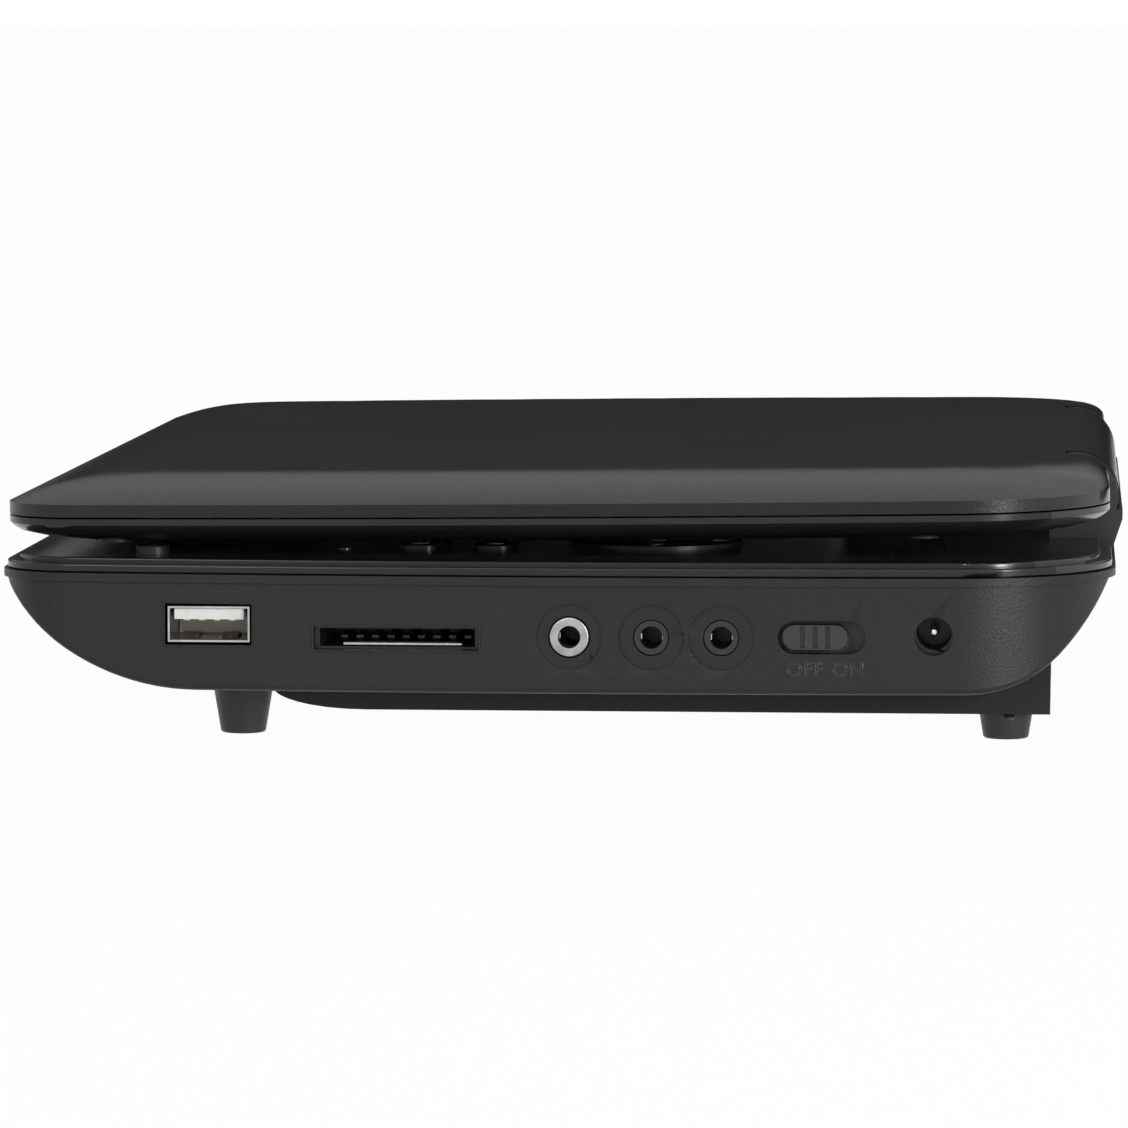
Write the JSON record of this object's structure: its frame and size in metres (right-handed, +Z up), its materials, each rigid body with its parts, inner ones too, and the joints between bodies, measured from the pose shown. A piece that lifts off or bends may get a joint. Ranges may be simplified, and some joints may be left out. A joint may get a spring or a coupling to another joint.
{
  "type": "portable disc player",
  "caption": "Portable disc player: base with disc well under a hinged door, side sockets and slide switch, screen lid on a rear barrel hinge, battery slab and rubber feet.",
  "frame": {"origin": "centre of the footprint at table level, under the rubber feet", "axes": "+X is the side with the sockets and is the longest extent, -Y the front, +Y the hinge side, +Z up"},
  "size_m": [0.2436, 0.1802, 0.0432],
  "materials": {
    "bottom_shell": "fine grained satin black",
    "deck": "gloss black",
    "lid_cover": "gloss black",
    "lid_bezel": "gloss black",
    "battery_case": "fine grained satin black",
    "battery_cells": "foil",
    "battery_contacts": "gold plated",
    "battery_latch": "satin",
    "shell_screws": "black oxide",
    "rubber_feet": "matt",
    "hinge_brackets": "plain",
    "hinge_bracket_screws": "plain",
    "hinge_pins": "ground",
    "deck_bumpers": "matt",
    "status_lamp": "green tint",
    "disc_door": "gloss black",
    "door_hinge_pins": "ground",
    "direction_pad": "satin",
    "enter_key": "satin",
    "menu_key": "satin",
    "mode_key": "satin",
    "play_key": "satin",
    "stop_key": "satin",
    "open_button": "satin",
    "key_board": "green lacquer",
    "key_domes": "sprung steel",
    "door_catch": "satin",
    "traverse_frame": "zinc plated",
    "guide_rods": "ground",
    "grommets": "matt",
    "spindle_motor": "plated",
    "spindle_shaft": "ground",
    "turntable": "satin",
    "hub_balls": "polished",
    "pickup_sled": "zinc casting",
    "objective_lens": "coated",
    "lead_screw": "plain",
    "feed_motor": "plated",
    "main_board": "green lacquer",
    "board_chips": "moulded",
    "board_screws": "plain",
    "data_port_shell": "nickel plated",
    "data_port_tongue": "white nylon",
    "data_port_contacts": "gold plated",
    "card_socket": "moulded",
    "card_contacts": "gold plated",
    "headphone_nut": "nickel plated",
    "headphone_jack": "moulded",
    "av_out_jack": "moulded",
    "av_in_jack": "moulded",
    "dc_inlet_body": "moulded",
    "dc_inlet_pin": "nickel plated",
    "power_switch_knob": "satin",
    "power_switch": "moulded",
    "lid_screws": "plain",
    "screw_caps": "matt",
    "display_panel": "dark display glass",
    "backlight": "white tray",
    "lid_board": "green lacquer",
    "speakers": "moulded"
  },
  "bodies": {
    "base": {"bottom_shell": "bottom_shell", "deck": "deck", "battery_case": "battery_case", "battery_cells": "battery_cells", "battery_contacts": "battery_contacts", "shell_screws": "shell_screws", "rubber_feet": "rubber_feet", "hinge_brackets": "hinge_brackets", "hinge_bracket_screws": "hinge_bracket_screws", "hinge_pins": "hinge_pins", "deck_bumpers": "deck_bumpers", "status_lamp": "status_lamp", "door_hinge_pins": "door_hinge_pins", "key_board": "key_board", "key_domes": "key_domes", "traverse_frame": "traverse_frame", "guide_rods": "guide_rods", "grommets": "grommets", "spindle_motor": "spindle_motor", "feed_motor": "feed_motor", "main_board": "main_board", "board_chips": "board_chips", "board_screws": "board_screws", "data_port_shell": "data_port_shell", "data_port_tongue": "data_port_tongue", "data_port_contacts": "data_port_contacts", "card_socket": "card_socket", "card_contacts": "card_contacts", "headphone_nut": "headphone_nut", "headphone_jack": "headphone_jack", "av_out_jack": "av_out_jack", "av_in_jack": "av_in_jack", "dc_inlet_body": "dc_inlet_body", "dc_inlet_pin": "dc_inlet_pin", "power_switch": "power_switch"},
    "lid": {"lid_cover": "lid_cover", "lid_bezel": "lid_bezel", "lid_screws": "lid_screws", "screw_caps": "screw_caps", "display_panel": "display_panel", "backlight": "backlight", "lid_board": "lid_board", "speakers": "speakers"},
    "disc_door": {"disc_door": "disc_door"},
    "power_knob": {"power_switch_knob": "power_switch_knob"},
    "turntable": {"turntable": "turntable", "hub_balls": "hub_balls", "spindle_shaft": "spindle_shaft"},
    "sled": {"pickup_sled": "pickup_sled", "objective_lens": "objective_lens"},
    "lead_screw": {"lead_screw": "lead_screw"},
    "direction_pad": {"direction_pad": "direction_pad"},
    "enter_key": {"enter_key": "enter_key"},
    "menu_key": {"menu_key": "menu_key"},
    "mode_key": {"mode_key": "mode_key"},
    "play_key": {"play_key": "play_key"},
    "stop_key": {"stop_key": "stop_key"},
    "open_button": {"open_button": "open_button"},
    "door_catch": {"door_catch": "door_catch"},
    "battery_latch": {"battery_latch": "battery_latch"}
  },
  "joints": [
    {"name": "lid_hinge", "type": "hinge", "parent": "base", "child": "lid", "pos_m": [0, 0.0824, 0.036], "axis": [-1, 0, 0], "range_deg": [0, 115]},
    {"name": "disc_door_hinge", "type": "hinge", "parent": "base", "child": "disc_door", "pos_m": [-0.016, 0.066, 0.0262], "axis": [-1, 0, 0], "range_deg": [0, 46.5]},
    {"name": "power_switch_slide", "type": "slide", "parent": "base", "child": "power_knob", "axis": [0, 1, 0], "range_m": [0, 0.0025]},
    {"name": "spindle_spin", "type": "hinge", "parent": "base", "child": "turntable", "pos_m": [-0.016, -0.006, 0.022], "axis": [0, 0, 1], "continuous": true},
    {"name": "sled_slide", "type": "slide", "parent": "base", "child": "sled", "axis": [-1, 0, 0], "range_m": [0, 0.03]},
    {"name": "lead_screw_spin", "type": "hinge", "parent": "base", "child": "lead_screw", "pos_m": [-0.06, 0.0235, 0.0166], "axis": [1, 0, 0], "range_deg": [0, 2700.5]},
    {"name": "direction_pad_press", "type": "slide", "parent": "base", "child": "direction_pad", "axis": [0, 0, -1], "range_m": [0, 0.0006], "stiffness_N_per_m": 800},
    {"name": "enter_key_press", "type": "slide", "parent": "base", "child": "enter_key", "axis": [0, 0, -1], "range_m": [0, 0.0006], "stiffness_N_per_m": 800},
    {"name": "menu_key_press", "type": "slide", "parent": "base", "child": "menu_key", "axis": [0, 0, -1], "range_m": [0, 0.0006], "stiffness_N_per_m": 800},
    {"name": "mode_key_press", "type": "slide", "parent": "base", "child": "mode_key", "axis": [0, 0, -1], "range_m": [0, 0.0006], "stiffness_N_per_m": 800},
    {"name": "play_key_press", "type": "slide", "parent": "base", "child": "play_key", "axis": [0, 0, -1], "range_m": [0, 0.0006], "stiffness_N_per_m": 800},
    {"name": "stop_key_press", "type": "slide", "parent": "base", "child": "stop_key", "axis": [0, 0, -1], "range_m": [0, 0.0006], "stiffness_N_per_m": 800},
    {"name": "open_button_press", "type": "slide", "parent": "base", "child": "open_button", "axis": [0, 0, -1], "range_m": [0, 0.0006], "stiffness_N_per_m": 800},
    {"name": "door_catch_slide", "type": "slide", "parent": "base", "child": "door_catch", "axis": [0, -1, 0], "range_m": [0, 0.0012]},
    {"name": "battery_latch_slide", "type": "slide", "parent": "base", "child": "battery_latch", "axis": [0, -1, 0], "range_m": [0, 0.0025], "stiffness_N_per_m": 300}
  ],
  "couplings": [
    {"joint": "disc_door_hinge", "follows": "lid_hinge", "ratio": 0.4},
    {"joint": "lead_screw_spin", "follows": "sled_slide", "rad_per_m": 1570.8},
    {"joint": "door_catch_slide", "follows": "open_button_press", "ratio": 2}
  ]
}
